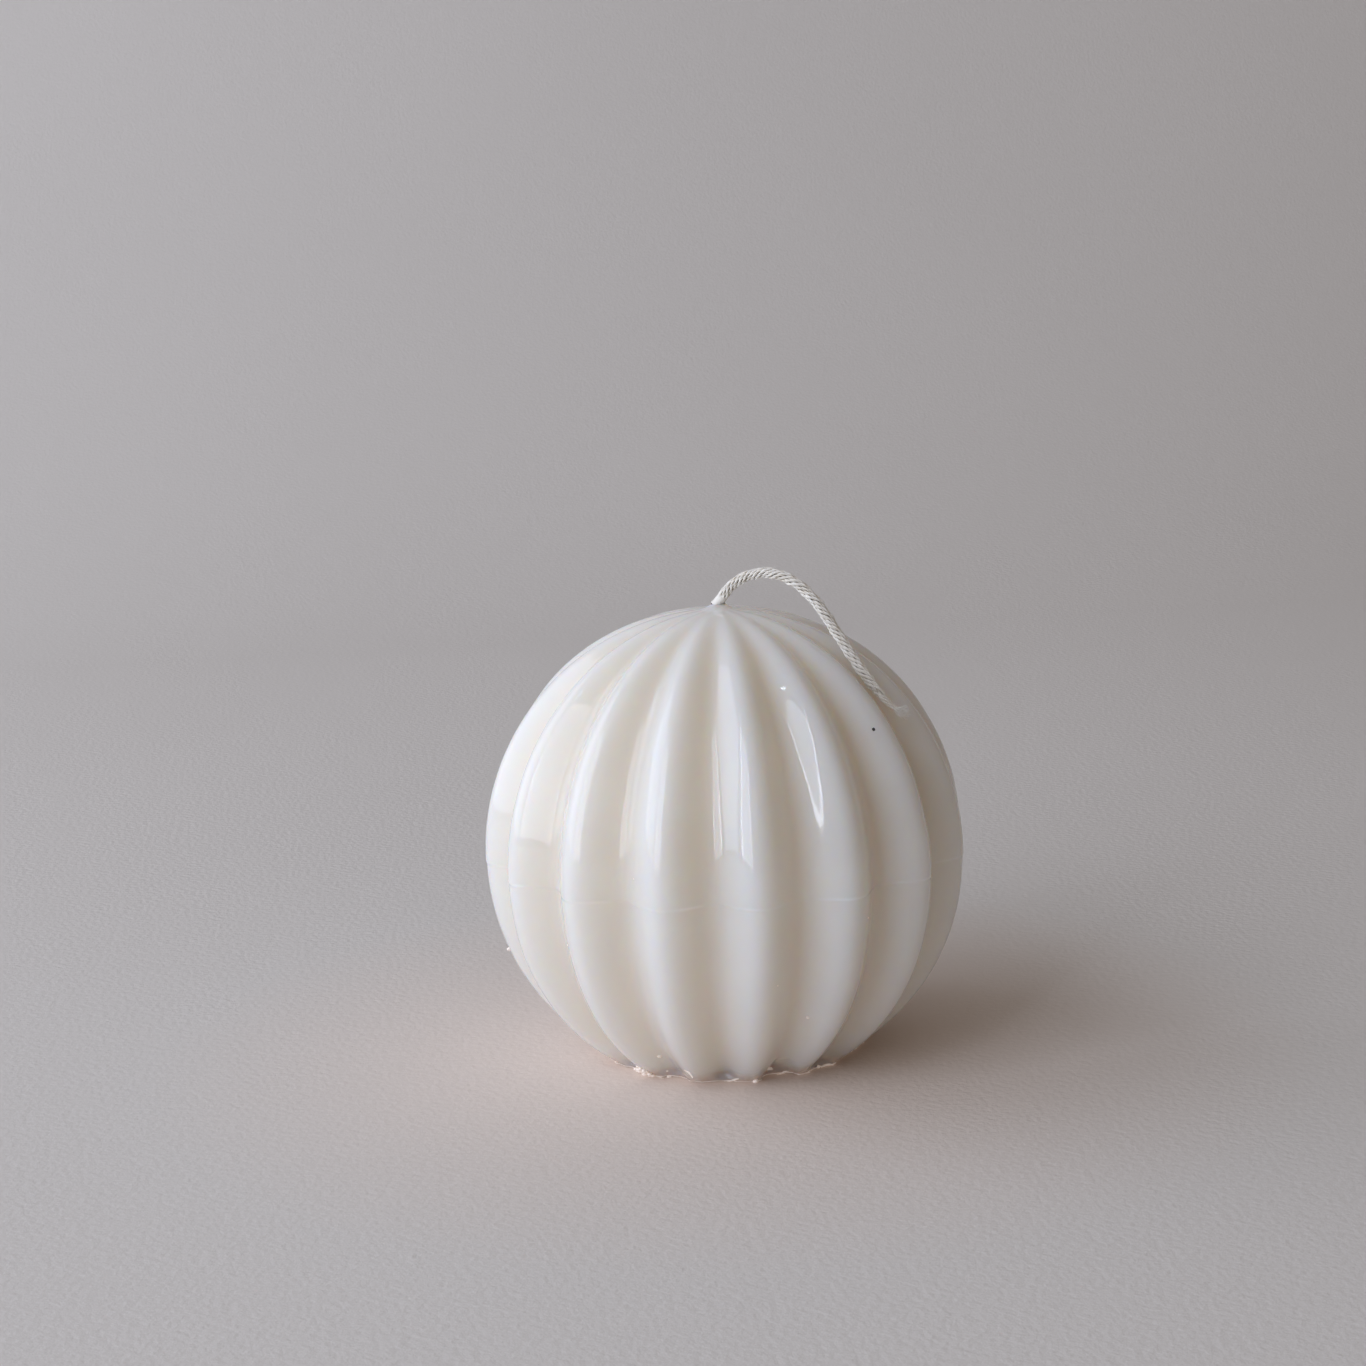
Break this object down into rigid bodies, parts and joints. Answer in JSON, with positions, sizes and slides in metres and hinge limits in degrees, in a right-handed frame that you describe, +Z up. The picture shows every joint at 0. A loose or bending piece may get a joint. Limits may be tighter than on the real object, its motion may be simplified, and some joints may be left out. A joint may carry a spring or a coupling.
{
  "type": "ribbed ball candle",
  "caption": "Ball candle of glossy white wax with rounded meridian ribs, a trimmed flat foot and a braided cotton wick that arches over from the pole.",
  "frame": {"origin": "centre of the flat foot that the candle stands on", "axes": "+Z up along the ball's symmetry axis; a rib crest faces -Y"},
  "size_m": [0.07, 0.07, 0.0711],
  "materials": {
    "wax": null,
    "cotton": "unbleached braided cotton"
  },
  "bodies": {
    "root": {"wax_body": "wax", "wick_core_a": "cotton", "wick_core_b": "cotton", "wick_core_c": "cotton", "wick_tail": "cotton"}
  },
  "joints": []
}
